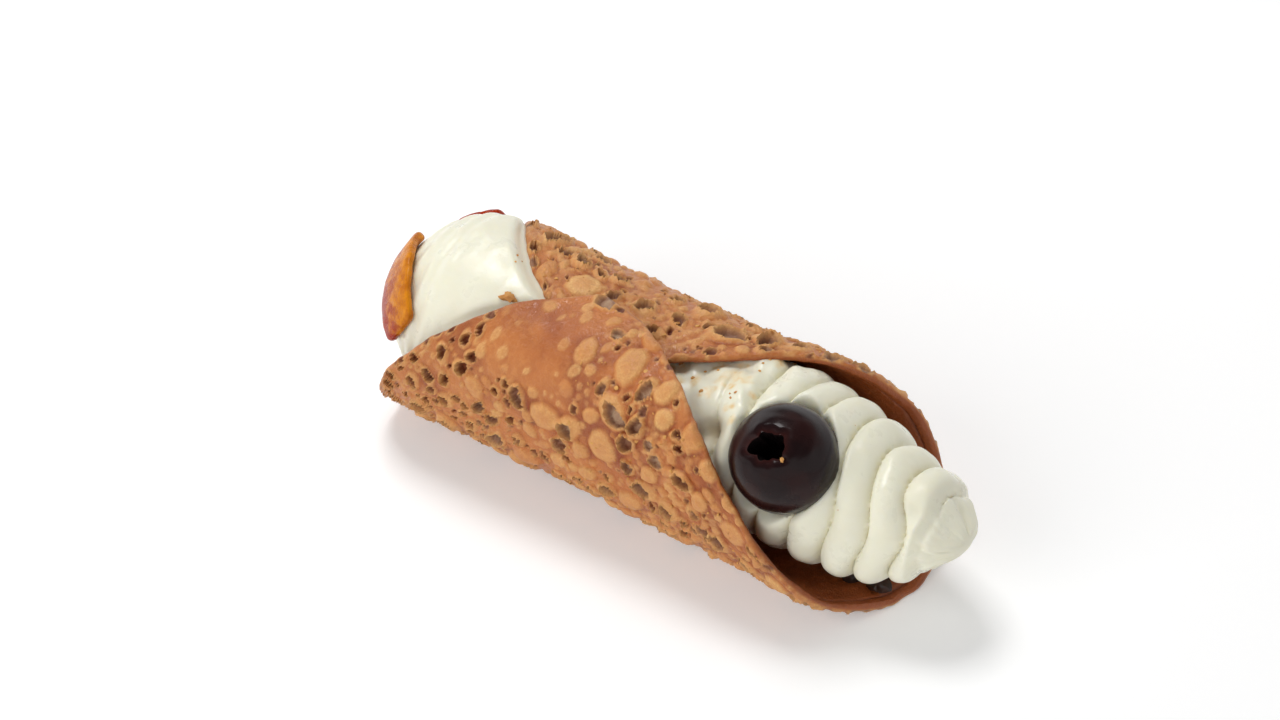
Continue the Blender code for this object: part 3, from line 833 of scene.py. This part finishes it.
def make_bits(name, places, ways, sizes, flatness, roughness):
    """Many small broken lumps as one piece, each one uneven and turned its own way."""
    bpy.ops.object.select_all(action="DESELECT")
    bpy.ops.mesh.primitive_ico_sphere_add(subdivisions=2, radius=1.0)
    piece = bpy.context.object
    piece.name = name
    lump = piece.data
    ball = np.empty(3 * len(lump.vertices))
    lump.vertices.foreach_get("co", ball)
    ball = ball.reshape(-1, 3)
    faces = np.array([p.vertices[:] for p in lump.polygons])
    points, corners = [], []
    for k, (place, way, size) in enumerate(zip(places, ways, sizes)):
        way = way / np.linalg.norm(way)
        side = np.cross(way, rng.uniform(-1.0, 1.0, 3))
        side /= np.linalg.norm(side)
        frame_of_bit = np.stack((side, np.cross(way, side), way))
        stretch = size * np.array((rng.uniform(0.8, 1.3), rng.uniform(0.55, 0.95), rng.uniform(*flatness)))
        uneven = 1.0 + roughness * rng.uniform(-1.0, 1.0, (len(ball), 1))
        points.append(place + (ball * uneven * stretch) @ frame_of_bit)
        corners.append(faces + k * len(ball))
    mesh = bpy.data.meshes.new(name)
    mesh.from_pydata(np.concatenate(points).tolist(), [], np.concatenate(corners).tolist())
    mesh.validate()
    piece.data = mesh
    bpy.ops.object.shade_smooth_by_angle(angle=radians(32))
    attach(piece, "root")
    return piece


def on_cream(count, x_range, angle_range, size_range):
    """Places, directions and sizes for bits lying on the cream."""
    i = np.searchsorted(cream_x, rng.uniform(*x_range, count))
    j = (np.radians(rng.uniform(*angle_range, count)) / tau * CREAM_SPOKES).astype(int)
    size = rng.uniform(0.0, 1.0, count) ** 2 * (size_range[1] - size_range[0]) + size_range[0]
    way = np.stack((np.zeros(count), side_way[0, j], up_way[0, j]), -1)
    return cream_points[i, j] + way * (0.15 * size)[:, None], way, size


BIT_WAY = 0.001


def on_shell(count, x_range, s_range, size_range):
    """The same for bits lying on the shell."""
    px = rng.uniform(*x_range, count)
    ps = rng.uniform(*s_range, count)
    held = (ps < near_reach(px) - 0.001) & (ps > -far_reach(px) + 0.001)
    px, ps = px[held], ps[held]
    size = rng.uniform(0.0, 1.0, len(px)) ** 2 * (size_range[1] - size_range[0]) + size_range[0]
    high = np.maximum(sample(relief, px, ps), -0.0012) + 0.5 * WALL
    low = dough_point(px, ps, high, 0.0)
    way = dough_point(px, ps, high + BIT_WAY, 0.0) - low
    return low + way * (0.1 * size / BIT_WAY)[:, None], way + (0.0, 0.0, 1e-9), size


spots = (
    on_cream(22, (0.005, 0.030), (145, 205), (0.00030, 0.00080)),
    on_cream(4, (0.030, 0.062), (120, 200), (0.00012, 0.00025)),
    on_cream(12, (-0.034, -0.022), (170, 235), (0.00025, 0.00070)),
    on_shell(150, (-0.004, 0.050), (0.030, 0.070), (0.00015, 0.00050)),
    on_shell(150, (-0.045, 0.060), (-0.072, -0.020), (0.00015, 0.00055)),
)
CHERRY_SPECK_WAY = np.array((0.42, -0.66, 0.62))
speck_place = CHERRY_PLACE + PLACE + CHERRY_SPECK_WAY / np.linalg.norm(CHERRY_SPECK_WAY) * CHERRY_RADIUS
FLAKE_ROW = np.searchsorted(cream_x, -0.0274)
FLAKE_SPOKE = int(radians(150) / tau * CREAM_SPOKES)
flake_way = np.array((0.30, side_way[0, FLAKE_SPOKE], up_way[0, FLAKE_SPOKE]))
flake_way /= np.linalg.norm(flake_way)
flake_place = cream_points[FLAKE_ROW, FLAKE_SPOKE] + 0.0004 * flake_way
flake_side = np.cross(flake_way, (0.0, 0.0, 1.0))
singles = (
    (speck_place, CHERRY_SPECK_WAY, 0.00045),
    (flake_place, flake_way, 0.0015),
    (flake_place + 0.0012 * flake_side, flake_way, 0.0011),
    (flake_place - 0.0008 * flake_side, flake_way, 0.0012),
)
places = np.concatenate([s[0] for s in spots] + [np.array([s[0] for s in singles])])
ways = np.concatenate([s[1] for s in spots] + [np.array([s[1] for s in singles])])
sizes = np.concatenate([s[2] for s in spots] + [np.array([s[2] for s in singles])])
crumbs = make_bits("pastry_crumbs", places, ways, sizes, (0.30, 0.60), 0.26)
CRUMB_GOLD = (0.680, 0.360, 0.100)
CRUMB_TAN = (0.540, 0.240, 0.065)
broken_bits = Finish("pastry_crumbs", Specular_IOR_Level=0.4)
tone = broken_bits.between(broken_bits.noise(0.0030, 2.0), 0.38, 0.66)
grit = broken_bits.noise(0.00040, 3.0)
broken_bits.set(Base_Color=broken_bits.mix(CRUMB_TAN, CRUMB_GOLD, tone), Roughness=0.50 + 0.2 * grit)
broken_bits.bump(grit, 0.4, 0.00015)
crumbs.data.materials.append(broken_bits.material)

CHIP_COUNT = 7
chip_x = np.linspace(0.0500, 0.0605, CHIP_COUNT) + rng.uniform(-0.0007, 0.0007, CHIP_COUNT)
chip_s = rng.uniform(0.0035, 0.0105, CHIP_COUNT)
chip_size = rng.uniform(0.0016, 0.0028, CHIP_COUNT)
chip_place = dough_point(chip_x, chip_s, -0.5 * WALL - 0.55 * chip_size, 0.0)
chip_way = chip_place - dough_point(chip_x, chip_s, 0.0, 0.0)
chips = make_bits("chocolate_bits", chip_place, chip_way, chip_size, (0.55, 0.80), 0.20)
CHOCOLATE = (0.018, 0.008, 0.005)
CHOCOLATE_EDGE = (0.045, 0.018, 0.010)
chocolate = Finish("chocolate_bits", Specular_IOR_Level=0.5)
bloom = chocolate.between(chocolate.noise(0.0015, 3.0), 0.40, 0.70)
chocolate.set(Base_Color=chocolate.mix(CHOCOLATE, CHOCOLATE_EDGE, bloom), Roughness=0.30 + 0.2 * bloom)
chocolate.bump(bloom, 0.2, 0.00020)
chips.data.materials.append(chocolate.material)

# The floor, the light and the camera.
# A white floor under a soft key from above on the left, a broad fill from the near flap's side and a pale
# room that is darker overhead.

FLOOR_HALF = 3.0
FLOOR_WHITE = 0.86
bpy.ops.object.select_all(action="DESELECT")
bpy.ops.mesh.primitive_plane_add(size=2.0 * FLOOR_HALF)
ground = bpy.context.object
ground.name = "floor"
sweep = Finish("floor_white", Roughness=0.9, Specular_IOR_Level=0.0)
sweep.set(Base_Color=(FLOOR_WHITE, FLOOR_WHITE, FLOOR_WHITE, 1.0))
rays = sweep.node("ShaderNodeLightPath", None, None, "Is Camera Ray")
glossy_rays = Wire(sweep, rays.socket.node.outputs["Is Glossy Ray"])
through_rays = Wire(sweep, rays.socket.node.outputs["Is Transmission Ray"])
FLOOR_GLOW = 0.24
seen = rays + glossy_rays + through_rays
sweep.shader.inputs["Emission Color"].default_value = (1.0, 1.0, 1.0, 1.0)
glow = sweep.node("ShaderNodeMath", {"operation": "MULTIPLY", "use_clamp": True}, {0: seen, 1: FLOOR_GLOW})
sweep.feed(sweep.shader.inputs["Emission Strength"], glow)
ground.data.materials.append(sweep.material)

world = bpy.data.worlds.new("room")
bpy.context.scene.world = world
world.use_nodes = True
room_tree = world.node_tree
backing = next(n for n in room_tree.nodes if n.type == "BACKGROUND")
direction = room_tree.nodes.new("ShaderNodeTexCoord")
split = room_tree.nodes.new("ShaderNodeSeparateXYZ")
dim = room_tree.nodes.new("ShaderNodeMapRange")
dim.interpolation_type = "SMOOTHSTEP"
room_tree.links.new(direction.outputs["Generated"], split.inputs[0])
room_tree.links.new(split.outputs["Z"], dim.inputs["Value"])
dim.inputs["From Min"].default_value = 0.30
dim.inputs["From Max"].default_value = 0.60
dim.inputs["To Min"].default_value = 1.0
dim.inputs["To Max"].default_value = 0.16
room_tree.links.new(dim.outputs[0], backing.inputs["Strength"])
backing.inputs["Color"].default_value = (1.0, 1.0, 1.0, 1.0)


def softbox(name, way, distance, size, power):
    """A square area lamp that faces the cannolo."""
    way = Vector(way).normalized()
    bpy.ops.object.light_add(type="AREA", location=way * distance + Vector((0.0, 0.0, 0.02)))
    lamp = bpy.context.object
    lamp.name = name
    lamp.data.size = size
    lamp.data.energy = power
    lamp.rotation_euler = way.to_track_quat("Z", "Y").to_euler()
    return lamp


softbox("key", (-0.34, 0.16, 1.0), 0.75, 0.30, 3.1)
fill = softbox("fill", (-0.10, -1.00, 0.60), 0.90, 0.60, 2.9)
fill.visible_glossy = False

AZIMUTH = radians(37.65)
ELEVATION = radians(39.19)
ROLL = radians(-0.8165)
DISTANCE = 1.38917
LENS = 191.728125
SENSOR = 36.0
SLIDE = (-0.00133, 0.00793)
back = Vector((sin(AZIMUTH) * cos(ELEVATION), -cos(AZIMUTH) * cos(ELEVATION), sin(ELEVATION)))
level_right = Vector((cos(AZIMUTH), sin(AZIMUTH), 0.0))
level_up = back.cross(level_right)
right = level_right * cos(ROLL) + level_up * sin(ROLL)
above = level_up * cos(ROLL) - level_right * sin(ROLL)
bpy.ops.object.camera_add()
camera = bpy.context.object
camera.data.lens = LENS
camera.data.sensor_width = SENSOR
camera.data.clip_end = 20.0
turned = camera.matrix_world.copy()
for row in range(3):
    turned[row][0], turned[row][1], turned[row][2] = right[row], above[row], back[row]
eye = Vector(PLACE) + back * DISTANCE + right * SLIDE[0] + above * SLIDE[1]
turned.translation = eye
camera.matrix_world = turned
bpy.context.scene.camera = camera
bpy.context.scene.view_settings.view_transform = "Standard"

bpy.context.view_layer.update()
